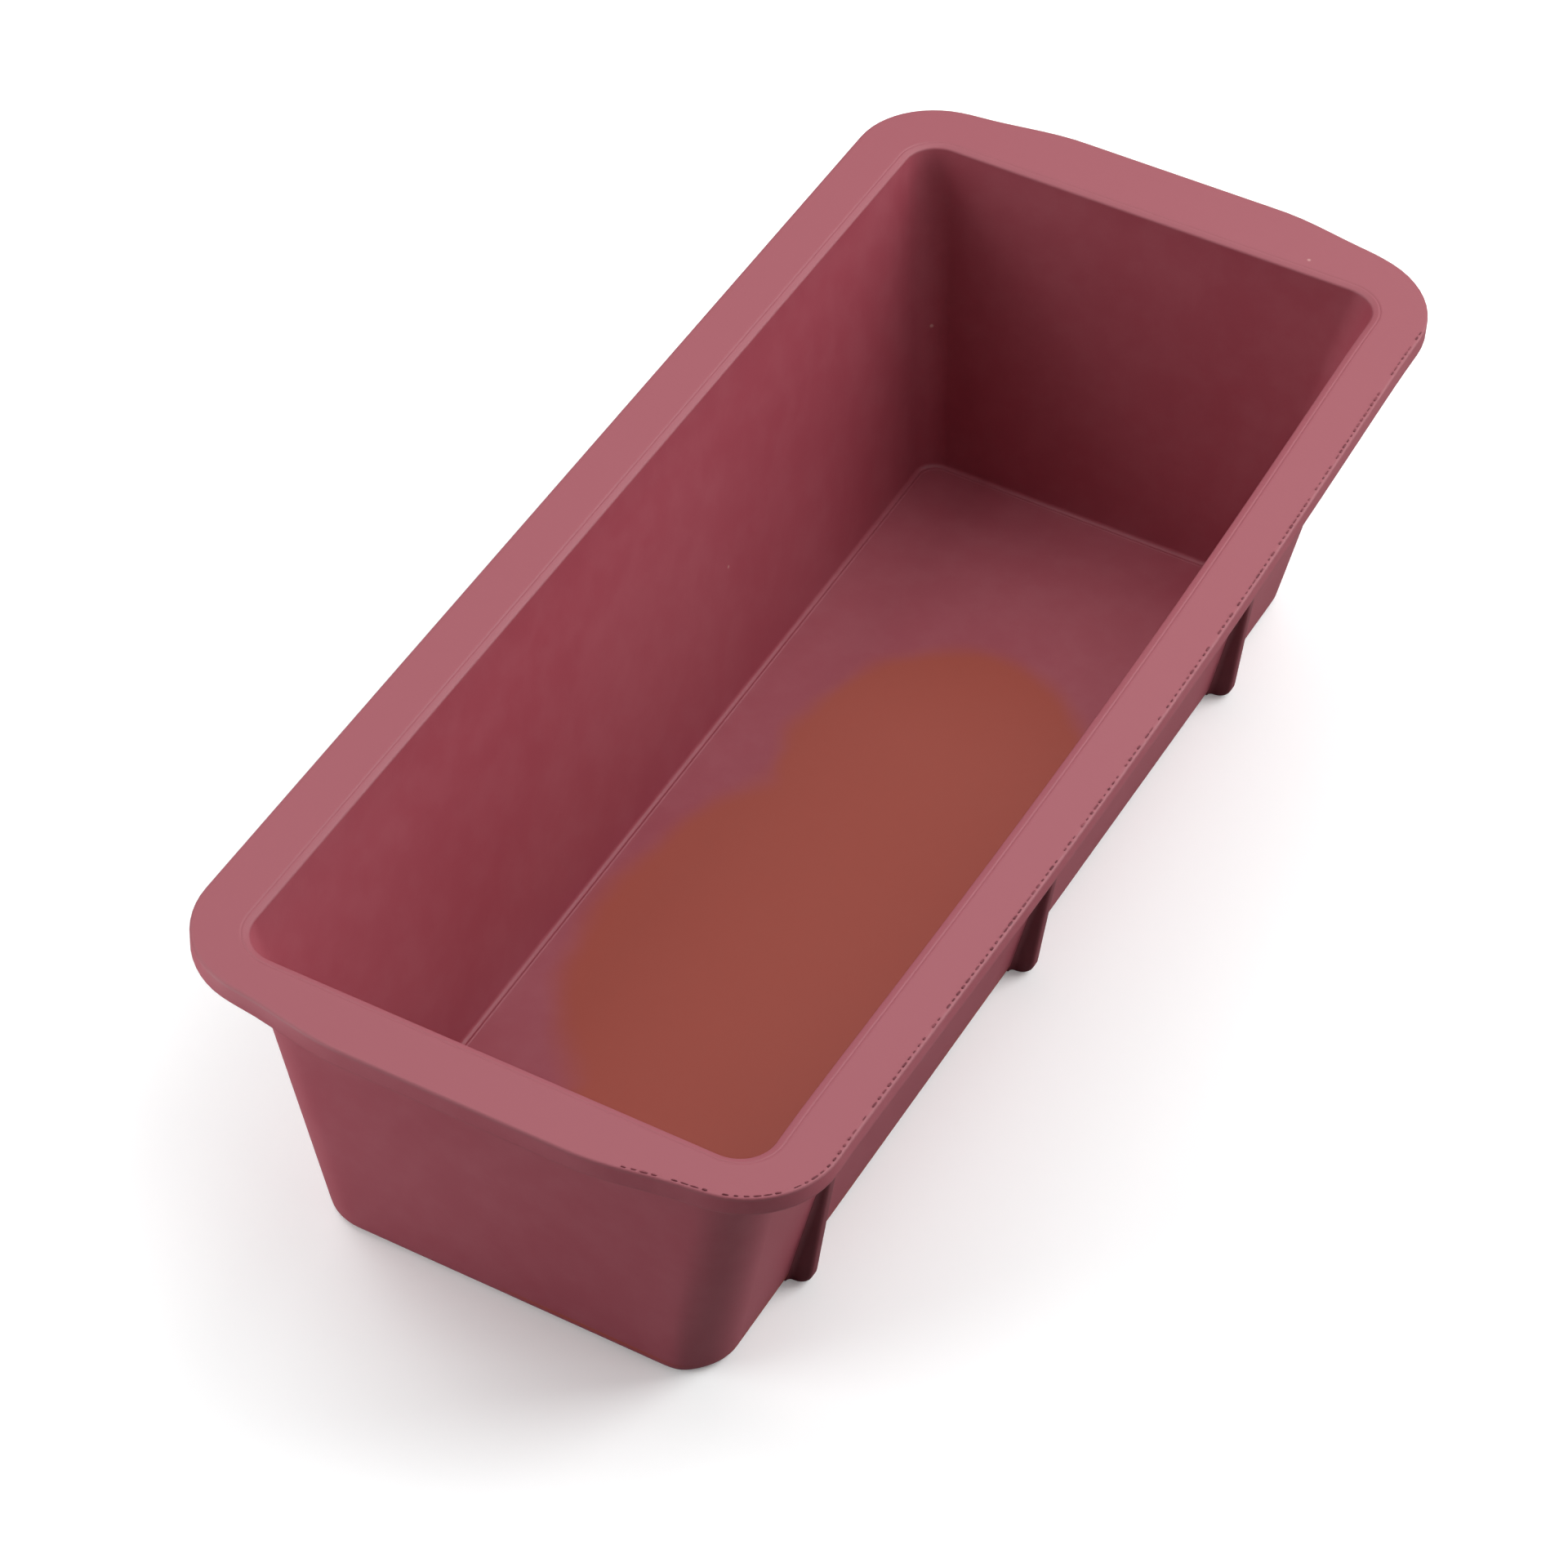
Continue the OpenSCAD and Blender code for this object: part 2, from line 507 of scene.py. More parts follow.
@dataclass(frozen=True)
class TableFinish:
    """Plain white table under the mould, which throws little light back up."""

    colour: Colour = (0.975, 1.0, 1.0)
    thrown: Colour = (0.33, 0.32, 0.32)
    glow: float = 0.10

    def build(self) -> bpy.types.Material:
        """Makes the material.

        Returns:
            The material.
        """
        material, w = new_material("white_table")
        seen = w.add("ShaderNodeLightPath").outputs["Is Camera Ray"]
        shader = w.add("ShaderNodeBsdfPrincipled", {
            "Base Color": w.mix(seen, (*self.thrown, 1), (*self.colour, 1)), "Roughness": 0.8,
            "Specular IOR Level": 0.1, "Emission Color": (1.0, 1.0, 1.0, 1.0),
            "Emission Strength": w.maths("MULTIPLY", seen, self.glow)})
        w.add("ShaderNodeOutputMaterial", {"Surface": shader.outputs[0]})
        return material


# The moulding


@dataclass(frozen=True)
class Wall:
    """Four leaning walls, as half the mould's length and width at their foot and at their top."""

    foot: tuple[float, float]
    top: tuple[float, float]
    foot_z: float
    top_z: float

    def at(self, z: float) -> tuple[float, float]:
        """Gives the walls' place at a height.

        Args:
            z: the height.

        Returns:
            Half the length and half the width there.
        """
        share = (z - self.foot_z) / (self.top_z - self.foot_z)
        length, width = (foot + (top - foot) * share for foot, top in zip(self.foot, self.top))
        return length, width

    def leans(self) -> tuple[float, float]:
        """Gives the angles by which the end walls and the long walls lean outwards."""
        rise = self.top_z - self.foot_z
        ends, sides = (math.atan2(top - foot, rise) for foot, top in zip(self.foot, self.top))
        return ends, sides


@dataclass(frozen=True)
class Ring:
    """One level outline of the moulding: a rounded rectangle at a height.

    The share is how far the ring is out along the flange, from 0 at the trough to 1 at the edge.
    """

    half_length: float
    half_width: float
    radius: float
    z: float
    share: float = 0.0
    centre: tuple[float, float] = (0.0, 0.0)


@dataclass(frozen=True)
class SoftSide:
    """How far the soft right side bows out at its top and is skewed at its foot. Sizes in mm.

    STARTS_AT and FULL_AT are the places across the mould, in metres, where the lean begins and is full.
    """

    LABELS: ClassVar[tuple[str, ...]] = ("Bow", "Bow Middle", "Bow Half Length", "Height", "Skew")
    STARTS_AT: ClassVar[float] = -0.030
    FULL_AT: ClassVar[float] = -0.036
    ALONG_POWER: ClassVar[float] = 1.25
    UP_POWER: ClassVar[float] = 1.5
    bow: float = 1.7
    middle: float = -2.0
    half_length: float = 106.0
    height: float = 66.6
    skew: float = 0.0095

    def values(self) -> dict[str, float]:
        """Gives the soft side's values for a tree, in metres."""
        sizes = (self.bow * MM, self.middle * MM, self.half_length * MM, self.height * MM, self.skew)
        return dict(zip(self.LABELS, sizes))

    @classmethod
    def lean(cls, w: Wiring, shape: bpy.types.NodeSocket, soft_side: bpy.types.NodeTree,
             given: bpy.types.NodeOutputs) -> bpy.types.NodeSocket:
        """Leans the right side of a shape outwards.

        Args:
            w: the tree's wiring.
            shape: the shape to lean.
            soft_side: the group from bow_group.
            given: the tree's inputs, which hold the soft side's labels.

        Returns:
            The leaning shape.
        """
        field = w.add("GeometryNodeGroup", node_tree=soft_side)
        w.put(field.inputs["Position"], w.add("GeometryNodeInputPosition").outputs[0])
        for label in cls.LABELS:
            w.put(field.inputs[label], given[label])
        return w.add("GeometryNodeSetPosition", {"Geometry": shape, "Offset": field.outputs[0]}).outputs[0]


def bow_group() -> bpy.types.NodeTree:
    """Builds the field by which the soft right side leans outwards.

    Returns:
        The group, whose inputs are Position and the soft side's labels.
    """
    w, start, end = new_group("soft_side", TreeKind.GEOMETRY, {
        "Position": VECTOR, **{label: NUMBER for label in SoftSide.LABELS}}, {"Offset": VECTOR})
    place, bow, middle, half, height, skew = start.outputs[:6]
    x, y, z = w.split(place)
    along = w.maths("DIVIDE", w.maths("SUBTRACT", x, middle), half)
    along = w.maths("MAXIMUM", w.maths("SUBTRACT", 1.0, w.maths("POWER", along, 2.0)), 0.0)
    along = w.maths("POWER", along, SoftSide.ALONG_POWER)
    up = w.maths("POWER", w.maths("MAXIMUM", w.maths("DIVIDE", z, height), 0.0), SoftSide.UP_POWER)
    right = w.ramp(y, SoftSide.STARTS_AT, SoftSide.FULL_AT)
    size = w.maths("MULTIPLY", w.maths("MULTIPLY", w.maths("MULTIPLY", along, up), right), bow)
    low = w.ramp(z, 0.0, height, 1.0, 0.0, smooth=False)
    turned = w.maths("MULTIPLY", w.maths("MULTIPLY", x, skew), w.maths("MULTIPLY", low, right))
    w.put(end.inputs[0], w.combine(0.0, w.maths("MULTIPLY", w.maths("ADD", size, turned), -1.0), 0.0))
    return w.tree


@dataclass(frozen=True)
class MouldBody:
    """The trough and its flange: one smooth skin from floor to rim to underside. Sizes in mm."""

    outer: Wall = Wall((113.8, 38.3), (122.0, 47.7), 2.4, 62.7)
    inner: Wall = Wall((106.8, 34.1), (119.85, 46.2), 2.4, 66.6)
    floor_centre: tuple[float, float] = (-0.7, 0.15)
    mouth_centre: tuple[float, float] = (-1.6, -0.25)
    outer_corner: float = 9.5
    floor_corner: float = 4.4
    mouth_corner: float = 6.6
    height: float = 66.6
    floor_height: float = 2.4
    cove: float = 0.9
    foot_round: float = 2.2
    flange_centre: tuple[float, float] = (0.0, 0.0)
    half_flange_length: float = 129.7
    half_flange_width: float = 56.2
    flange_thickness: float = 3.9
    flange_corner: float = 16.5
    far_right_rounding: float = 2.0
    edge_round: float = 0.45
    low_edge_round: float = 0.5
    under_fillet: float = 1.4
    grip_reach: float = 3.05
    grip_flat: float = 20.0
    grip_half_width: float = 43.0
    name: str = "mould_body"

    def rings(self) -> list[Ring]:
        """Lists the outlines from the middle of the floor, over the rim, to the middle underneath."""
        return [*self._floor(), *self._inside(), *self._lip(), *self._flange(), *self._outside(),
                *self._underside()]

    def _cove_back(self, z: float, lean: float) -> float:
        """Gives how far the cove stands in from the inside wall.

        Args:
            z: the height.
            lean: the wall's lean.

        Returns:
            The distance.
        """
        up = z - self.floor_height
        tangent = self.cove * (1 - math.sin(lean))
        if up >= tangent:
            return 0.0
        arc = math.sqrt(max(self.cove**2 - (self.cove - up) ** 2, 0.0))
        return math.tan(lean) * (up - tangent) + self.cove * math.cos(lean) - arc

    def _inside_ring(self, z: float) -> Ring:
        """Gives the outline of the cavity at a height.

        Args:
            z: the height.

        Returns:
            The ring.
        """
        length, width = self.inner.at(z)
        share = (z - self.floor_height) / (self.height - self.floor_height)
        centre = tuple(a + (b - a) * share for a, b in zip(self.floor_centre, self.mouth_centre))
        end_lean, side_lean = self.inner.leans()
        end_back, side_back = self._cove_back(z, end_lean), self._cove_back(z, side_lean)
        radius = self.floor_corner + (self.mouth_corner - self.floor_corner) * share - side_back
        return Ring(length - end_back, width - side_back, radius, z, centre=centre)

    def _floor(self) -> list[Ring]:
        """Lists the rings of the floor, from its middle to the fine bead along its edge."""
        edge = self._inside_ring(self.floor_height)
        shares = (0.0, 0.2, 0.4, 0.6, 0.75, 0.88)
        rings = [Ring(edge.half_length * s, edge.half_width * s, edge.radius * s, self.floor_height,
                      centre=edge.centre) for s in shares]
        bead = ((1.6, 0.0), (0.62, 0.0), (0.50, 0.01), (0.40, 0.05), (0.30, 0.08), (0.20, 0.07),
                (0.10, 0.0), (0.0, -0.10))
        rings += [Ring(edge.half_length - back, edge.half_width - back, edge.radius - back * 0.5,
                       self.floor_height + up, centre=edge.centre) for back, up in bead]
        return rings

    def _inside(self) -> list[Ring]:
        """Lists the rings of the cove and the inside wall."""
        turns = (math.radians(degrees) for degrees in (15, 32, 48, 64, 84))
        cove = [self.floor_height + self.cove * (1 - math.cos(turn)) for turn in turns]
        start, end = cove[-1], self.height - 0.9
        walls = [start + (end - start) * i / 12 for i in range(1, 13)]
        return [self._inside_ring(z) for z in cove + walls]

    def _lip(self) -> list[Ring]:
        """Lists the rings of the lip: a tight turn, a narrow band that dips inwards and a fine line."""
        profile = ((-0.13, 0.66), (-0.08, 0.52), (0.0, 0.42), (0.10, 0.34), (0.24, 0.28), (0.5, 0.20),
                   (0.8, 0.10), (1.02, 0.05), (1.14, 0.06), (1.25, 0.13), (1.36, 0.06), (1.5, 0.0))
        mouth = self._inside_ring(self.height)
        return [Ring(mouth.half_length + out, mouth.half_width + out, mouth.radius + out,
                     self.height - down, centre=mouth.centre) for out, down in profile]

    def _flange(self) -> list[Ring]:
        """Lists the rings of the flange: its top, its tight upper edge and its rounder lower edge."""
        top, low = self.height, self.height - self.flange_thickness
        turn = self.edge_round
        rings = [self._flange_ring(share, 0.0, top) for share in (0.03, 0.2, 0.45, 0.72)]
        rings += [self._flange_ring(1.0, back, top) for back in (0.8, turn)]
        for degrees in (68, 45, 22, 0):
            angle = math.radians(degrees)
            rings.append(self._flange_ring(1.0, turn * (1 - math.cos(angle)),
                                           top - turn * (1 - math.sin(angle))))
        rings += [self._flange_ring(1.0, 0.0, low + 1.2), self._flange_ring(1.0, 0.0, low + 0.62)]
        turn = self.low_edge_round
        for degrees in (30, 60, 90):
            angle = math.radians(degrees)
            rings.append(self._flange_ring(1.0, turn * (1 - math.cos(angle)),
                                           low + turn * (1 - math.sin(angle))))
        rings.append(self._flange_ring(0.8, 0.0, low))
        return rings

    def _flange_ring(self, share: float, back: float, z: float) -> Ring:
        """Gives one outline of the flange.

        Args:
            share: how far out it is, from the lip to the outer edge.
            back: how far in it is from there.
            z: its height.

        Returns:
            The ring.
        """
        lip = self._lip()[-1]
        length = lip.half_length + (self.half_flange_length - lip.half_length) * share - back
        width = lip.half_width + (self.half_flange_width - lip.half_width) * share - back
        radius = lip.radius + (self.flange_corner - lip.radius) * share - back
        centre = tuple(a + (b - a) * share for a, b in zip(lip.centre, self.flange_centre))
        return Ring(length, width, radius, z, share, centre)

    def _outside(self) -> list[Ring]:
        """Lists the rings of the fillet under the flange and of the outside wall."""
        low = self.height - self.flange_thickness
        rings = []
        for degrees in (0, 25, 50, 75, 90):
            angle = math.radians(degrees)
            z = low - self.under_fillet * (1 - math.cos(angle))
            length, width = self.outer.at(z)
            out = self.under_fillet * (1 - math.sin(angle))
            rings.append(Ring(length + out, width + out, self.outer_corner + out * 0.7, z))
        top, bottom = low - self.under_fillet - 0.6, self.foot_round + 0.5
        for i in range(13):
            z = top + (bottom - top) * i / 12
            rings.append(Ring(*self.outer.at(z), self.outer_corner, z))
        return rings

    def _underside(self) -> list[Ring]:
        """Lists the rings of the rounded foot and the flat underside."""
        turn = self.foot_round
        lean = self.outer.leans()[1]
        length, width = self.outer.at(turn * (1 - math.sin(lean)))
        rings = []
        for degrees in (0, 15, 30, 45, 60, 75, 90):
            angle = math.radians(degrees) + (1 - degrees / 90) * lean
            back = turn * (math.cos(lean) - math.cos(angle))
            rings.append(Ring(length - back, width - back, self.outer_corner - back,
                              turn * (1 - math.sin(angle))))
        last = rings[-1]
        for share in (0.97, 0.7, 0.4, 0.0):
            rings.append(Ring(last.half_length * share, last.half_width * share, last.radius * share, 0.0))
        return rings

    def _plan(self) -> tuple[list[Vector], list[Vector], list[float]]:
        """Lists the stops round one outline.

        Returns:
            Each stop's share of the corner centres along X and Y, the way it faces, and its extra
            rounding at the flange's edge.
        """
        stops, facing, rounding = [], [], []
        corner_steps, long_steps, short_steps = 14, 56, 26
        signs = ((1, 1), (-1, 1), (-1, -1), (1, -1))
        for quarter, (sign_x, sign_y) in enumerate(signs):
            extra = self.far_right_rounding * MM if (sign_x, sign_y) == (1, -1) else 0.0
            for i in range(corner_steps + 1):
                angle = math.radians(90 * (quarter + i / corner_steps))
                stops.append(Vector((sign_x, sign_y, 0)))
                facing.append(Vector((math.cos(angle), math.sin(angle), 0)))
                rounding.append(extra)
            next_x, next_y = signs[(quarter + 1) % 4]
            steps = long_steps if next_x != sign_x else short_steps
            for i in range(1, steps):
                share = i / steps
                stops.append(Vector((sign_x + (next_x - sign_x) * share,
                                     sign_y + (next_y - sign_y) * share, 0)))
                facing.append(facing[-1].copy())
                rounding.append(0.0)
        return stops, facing, rounding

    @staticmethod
    def _tree(soft_side: bpy.types.NodeTree) -> bpy.types.NodeTree:
        """Builds the tree that carries the section round the plan.

        Args:
            soft_side: the group that leans the right side outwards.

        Returns:
            The geometry tree.
        """
        w, start, end = new_group("carry_section_round_plan", TreeKind.GEOMETRY, {
            "Plan": SHAPE, "Section": OBJECT, "Plan Stops": COUNT, "Section Rings": COUNT,
            "Grip Reach": NUMBER, "Grip Flat": NUMBER, "Grip Half Width": NUMBER,
            **{label: NUMBER for label in SoftSide.LABELS}, "Finish": FINISH}, {"Skin": SHAPE})
        given = start.outputs
        section = w.add("GeometryNodeObjectInfo", {"Object": given["Section"]}).outputs["Geometry"]
        around = w.maths("ADD", given["Plan Stops"], 1.0)
        grid = w.add("GeometryNodeMeshGrid", {"Vertices X": around, "Vertices Y": given["Section Rings"]})
        index = w.add("GeometryNodeInputIndex").outputs[0]
        ring = w.maths("MODULO", index, given["Section Rings"])
        stop = w.maths("MODULO", w.maths("FLOOR", w.maths("DIVIDE", w.maths("ADD", index, 0.5),
                                                        given["Section Rings"])), given["Plan Stops"])

        def read(source: bpy.types.NodeSocket, label: str, place: bpy.types.NodeSocket,
                 kind: str = "FLOAT_VECTOR") -> bpy.types.NodeSocket:
            """Reads one value of a chain at a place."""
            if label == "position":
                value = w.add("GeometryNodeInputPosition").outputs[0]
            else:
                value = w.add("GeometryNodeInputNamedAttribute", {"Name": label}, data_type=kind).outputs[0]
            node = w.add("GeometryNodeSampleIndex", {"Geometry": source, "Value": value, "Index": place},
                         data_type=kind, domain="POINT")
            return node.outputs[0]

        share = w.split(read(given["Plan"], "position", stop))
        facing = w.split(read(given["Plan"], "facing", stop))
        half = w.split(read(section, "position", ring))
        centre = w.split(read(section, "centre", ring))
        grip = read(section, "grip", ring, "FLOAT")
        radius = w.maths("MULTIPLY_ADD", grip, read(given["Plan"], "rounding", stop, "FLOAT"),
                         read(section, "corner_radius", ring, "FLOAT"))
        flat = []
        for axis in (0, 1):
            arc_middle = w.maths("MULTIPLY", share[axis], w.maths("SUBTRACT", half[axis], radius))
            flat.append(w.maths("MULTIPLY_ADD", radius, facing[axis], arc_middle))
        swell = w.ramp(w.maths("ABSOLUTE", flat[1]), given["Grip Flat"], given["Grip Half Width"], 1.0, 0.0)
        reach = w.maths("MULTIPLY", w.maths("MULTIPLY", swell, grip), given["Grip Reach"])
        x = w.maths("MULTIPLY_ADD", w.maths("SIGN", flat[0]), reach, flat[0])
        outline = w.combine(w.maths("ADD", x, centre[0]), w.maths("ADD", flat[1], centre[1]), half[2])
        placed = w.add("GeometryNodeSetPosition", {"Geometry": grid.outputs["Mesh"], "Position": outline})
        bowed = SoftSide.lean(w, placed.outputs[0], soft_side, given)
        merged = w.add("GeometryNodeMergeByDistance", {"Geometry": bowed, "Distance": 0.00001})
        smooth = w.add("GeometryNodeSetShadeSmooth", {"Geometry": merged.outputs[0]})
        end_tree(w, end, smooth.outputs[0], given)
        return w.tree

    def build(self, soft_side: bpy.types.NodeTree, bow: SoftSide, finish: bpy.types.Material
              ) -> bpy.types.Object:
        """Makes the skin and lets it stand for the CAD regions.

        Args:
            soft_side: the group that leans the right side outwards.
            bow: the sizes of that lean.
            finish: the silicone.

        Returns:
            The finished piece.
        """
        rings = self.rings()
        section = chain("section", [Vector((r.half_length, r.half_width, r.z)) * MM for r in rings],
                        {"corner_radius": [r.radius * MM for r in rings], "grip": [r.share for r in rings],
                         "centre": [Vector((*r.centre, 0.0)) * MM for r in rings]})
        stops, facing, rounding = self._plan()
        body = chain(self.name, stops, {"facing": facing, "rounding": rounding})
        grow(body, self._tree(soft_side), {
            "Section": section, "Plan Stops": len(stops), "Section Rings": len(rings),
            "Grip Reach": self.grip_reach * MM, "Grip Flat": self.grip_flat * MM,
            "Grip Half Width": self.grip_half_width * MM, "Finish": finish, **bow.values()})
        discard(section)
        point_outwards(body)
        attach(body, "root")
        regions = [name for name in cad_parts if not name.startswith("foot_rib")]
        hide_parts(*regions)
        return body


@dataclass(frozen=True)
class FootRibs:
    """The three upright ribs on one long side. Sizes in mm."""

    side: Side
    outer: Wall
    spacing: float = 81.5
    shift: float = -3.5
    thickness: float = 2.6
    depth: float = 3.5
    slope: float = 0.061
    low_round: float = 2.4
    top: float = 46.0
    root: float = 1.0
    edge: float = 0.6
    sunk: float = 0.6
    foot_height: float = 4.0
    foot_sunk: float = 3.2

    def _profile(self, z: float) -> list[Vector]:
        """Lists the points of one rib's level section, from one root to the other.

        Args:
            z: the height.

        Returns:
            The points.
        """
        wall = self.outer.at(z)[1]
        reach = self.outer.foot[1] + self.depth + self.slope * z
        if z < self.low_round:
            reach -= self.low_round - math.sqrt(self.low_round**2 - (self.low_round - z) ** 2)
        reach = max(reach, wall + 0.02)
        stand = reach - wall
        root, edge = min(self.root, stand * 0.5), min(self.edge, stand * 0.4)
        half = self.thickness / 2
        inside = wall - (self.foot_sunk if z < self.foot_height else self.sunk)
        right = [(half + root, inside), (half + root, wall - 0.02)]
        right += [(half + root * (1 - math.sin(a)), wall + root * (1 - math.cos(a)))
                  for a in (math.radians(d) for d in (22, 45, 68, 90))]
        right += [(half - edge * (1 - math.cos(a)), reach - edge * (1 - math.sin(a)))
                  for a in (math.radians(d) for d in (0, 30, 60, 90))]
        left = [(-x, y) for x, y in reversed(right)]
        return [Vector((x, y, z)) * MM for x, y in right + left]

    def _form(self) -> bpy.types.Object:
        """Makes one rib on the left wall, at the middle of the mould.

        Returns:
            The rib's object.
        """
        low = [self.low_round * (1 - math.cos(math.radians(a))) for a in (0, 20, 40, 60, 80)]
        heights = low + [3.0 + (self.top - 3.0) * i / 14 for i in range(15)]
        return stack("rib_form", [self._profile(z) for z in heights])

    @staticmethod
    def tree(soft_side: bpy.types.NodeTree) -> bpy.types.NodeTree:
        """Builds the tree that sets the ribs along a wall.

        Args:
            soft_side: the group that leans the right side outwards.

        Returns:
            The geometry tree.
        """
        w, start, end = new_group("set_ribs_along_wall", TreeKind.GEOMETRY, {
            "Start": SHAPE, "Rib": OBJECT, "Count": COUNT, "Spacing": NUMBER, "First Place": NUMBER,
            "Right Side": "NodeSocketBool", **{label: NUMBER for label in SoftSide.LABELS},
            "Finish": FINISH}, {"Ribs": SHAPE})
        given = start.outputs
        rib = w.add("GeometryNodeObjectInfo", {"Object": given["Rib"]}).outputs["Geometry"]
        line = w.add("GeometryNodeMeshLine", {
            "Count": given["Count"], "Start Location": w.combine(given["First Place"], 0.0, 0.0),
            "Offset": w.combine(given["Spacing"], 0.0, 0.0)}, mode="OFFSET")
        rows = w.add("GeometryNodeInstanceOnPoints", {"Points": line.outputs[0], "Instance": rib})
        real = w.add("GeometryNodeRealizeInstances", {"Geometry": rows.outputs[0]})
        turned = w.add("GeometryNodeTransform", {"Geometry": real.outputs[0], "Scale": (1.0, -1.0, 1.0)})
        flipped = w.add("GeometryNodeFlipFaces", {"Mesh": turned.outputs[0]})
        choice = w.add("GeometryNodeSwitch", {"Switch": given["Right Side"], "False": real.outputs[0],
                                              "True": flipped.outputs[0]}, input_type="GEOMETRY")
        bowed = SoftSide.lean(w, choice.outputs[0], soft_side, given)
        smooth = w.add("GeometryNodeSetShadeSmooth", {"Geometry": bowed})
        end_tree(w, end, smooth.outputs[0], given)
        return w.tree

    def build(self, tree: bpy.types.NodeTree, bow: SoftSide, finish: bpy.types.Material
              ) -> bpy.types.Object:
        """Makes the side's ribs.

        Args:
            tree: the tree from FootRibs.tree.
            bow: how far the soft side bows.
            finish: the silicone darkened as painted shade.

        Returns:
            The finished piece.
        """
        name = f"foot_ribs_{self.side.name.lower()}"
        form = self._form()
        ribs = chain(name, [Vector()])
        grow(ribs, tree, {"Rib": form, "Count": 3, "Spacing": self.spacing * MM,
                          "First Place": (self.shift - self.spacing) * MM,
                          "Right Side": self.side is Side.RIGHT, "Finish": finish, **bow.values()})
        discard(form)
        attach(ribs, "root")
        prefix = f"foot_rib_{self.side.name.lower()}"
        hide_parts(*[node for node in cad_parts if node.startswith(prefix)])
        return ribs


@dataclass(frozen=True)
class FlashLine:
    """The torn line of moulding flash near the flange's edge, as short crumbs. Sizes in mm."""

    side: Side
    inset: float = 0.58
    spacing: float = 1.6
    length: float = 1.15
    width: float = 0.40
    height: float = 0.20
    kept: float = 0.86
    start_past_flat: float = 9.0
    seed: int = 7
    faces_round: int = 6

    def _path(self, body: MouldBody) -> list[Vector]:
        """Lists the places of the crumbs' path, from the front grip round the corner to the back.

        Args:
            body: the body whose flange edge the line follows.

        Returns:
            The path's points, in metres.
        """
        half_length, half_width = body.half_flange_length - self.inset, body.half_flange_width - self.inset
        radius = body.flange_corner - self.inset
        start = body.grip_flat + self.start_past_flat
        points = []
        for i in range(13):
            y = -start + (start - half_width + radius) * i / 12
            swell = max(0.0, min(1.0, (body.grip_half_width + y) / (body.grip_half_width - body.grip_flat)))
            points.append((-half_length - body.grip_reach * swell * swell * (3 - 2 * swell), y))
        for i in range(1, 17):
            angle = math.radians(180 + 90 * i / 16)
            points.append((radius - half_length + radius * math.cos(angle),
                           radius - half_width + radius * math.sin(angle)))
        last = half_length - body.flange_corner
        points += [(radius - half_length + (last + half_length - radius) * i / 60, -half_width)
                   for i in range(1, 61)]
        return [Vector((x, y * -self.side.value, body.height)) * MM for x, y in points]

    def _form(self) -> bpy.types.Object:
        """Makes one crumb, a short flat lozenge.

        Returns:
            The crumb's object.
        """
        half, wide, high = self.length / 2, self.width / 2, self.height
        sections = [(-half, 0.25), (-half * 0.7, 0.9), (0.0, 1.0), (half * 0.7, 0.85), (half, 0.2)]
        angles = [2 * math.pi * i / self.faces_round for i in range(self.faces_round)]
        rows = [[Vector((x, wide * share * math.cos(angle), high * share * math.sin(angle))) * MM
                 for angle in angles] for x, share in sections]
        return stack("crumb_form", rows)

    @staticmethod
    def tree(soft_side: bpy.types.NodeTree) -> bpy.types.NodeTree:
        """Builds the tree that sets crumbs along a path, some left out and each a little different.

        Args:
            soft_side: the group that leans the right side outwards.

        Returns:
            The geometry tree.
        """
        w, start, end = new_group("set_crumbs_along_edge", TreeKind.GEOMETRY, {
            "Path": SHAPE, "Crumb": OBJECT, "Spacing": NUMBER, "Kept": NUMBER, "Seed": COUNT,
            **{label: NUMBER for label in SoftSide.LABELS}, "Finish": FINISH}, {"Crumbs": SHAPE})
        given = start.outputs
        crumb = w.add("GeometryNodeObjectInfo", {"Object": given["Crumb"]}).outputs["Geometry"]
        bowed = SoftSide.lean(w, given["Path"], soft_side, given)
        curve = w.add("GeometryNodeMeshToCurve", {"Mesh": bowed})
        places = w.add("GeometryNodeCurveToPoints", {"Curve": curve.outputs[0], "Length": given["Spacing"]},
                       mode="LENGTH")

        def chance(low: Value, high: Value, offset: int) -> bpy.types.NodeSocket:
            """Draws one random number for each crumb."""
            seed = w.maths("ADD", given["Seed"], float(offset))
            values = w.add("FunctionNodeRandomValue", {"Seed": seed}, data_type="FLOAT")
            w.put(values.inputs[2], low)
            w.put(values.inputs[3], high)
            return values.outputs[1]

        left_out = w.add("FunctionNodeCompare", {0: chance(0.0, 1.0, 0), 1: given["Kept"]},
                         operation="GREATER_THAN").outputs[0]
        kept = w.add("GeometryNodeDeleteGeometry", {"Geometry": places.outputs[0], "Selection": left_out},
                     domain="POINT")
        size = w.combine(chance(0.55, 1.25, 1), chance(0.6, 1.2, 2), chance(0.5, 1.3, 3))
        tangent = w.split(places.outputs["Tangent"])
        along = w.combine(0.0, 0.0, w.maths("ARCTAN2", tangent[1], tangent[0]))
        rows = w.add("GeometryNodeInstanceOnPoints", {
            "Points": kept.outputs[0], "Instance": crumb, "Rotation": along, "Scale": size})
        end_tree(w, end, rows.outputs[0], given)
        return w.tree

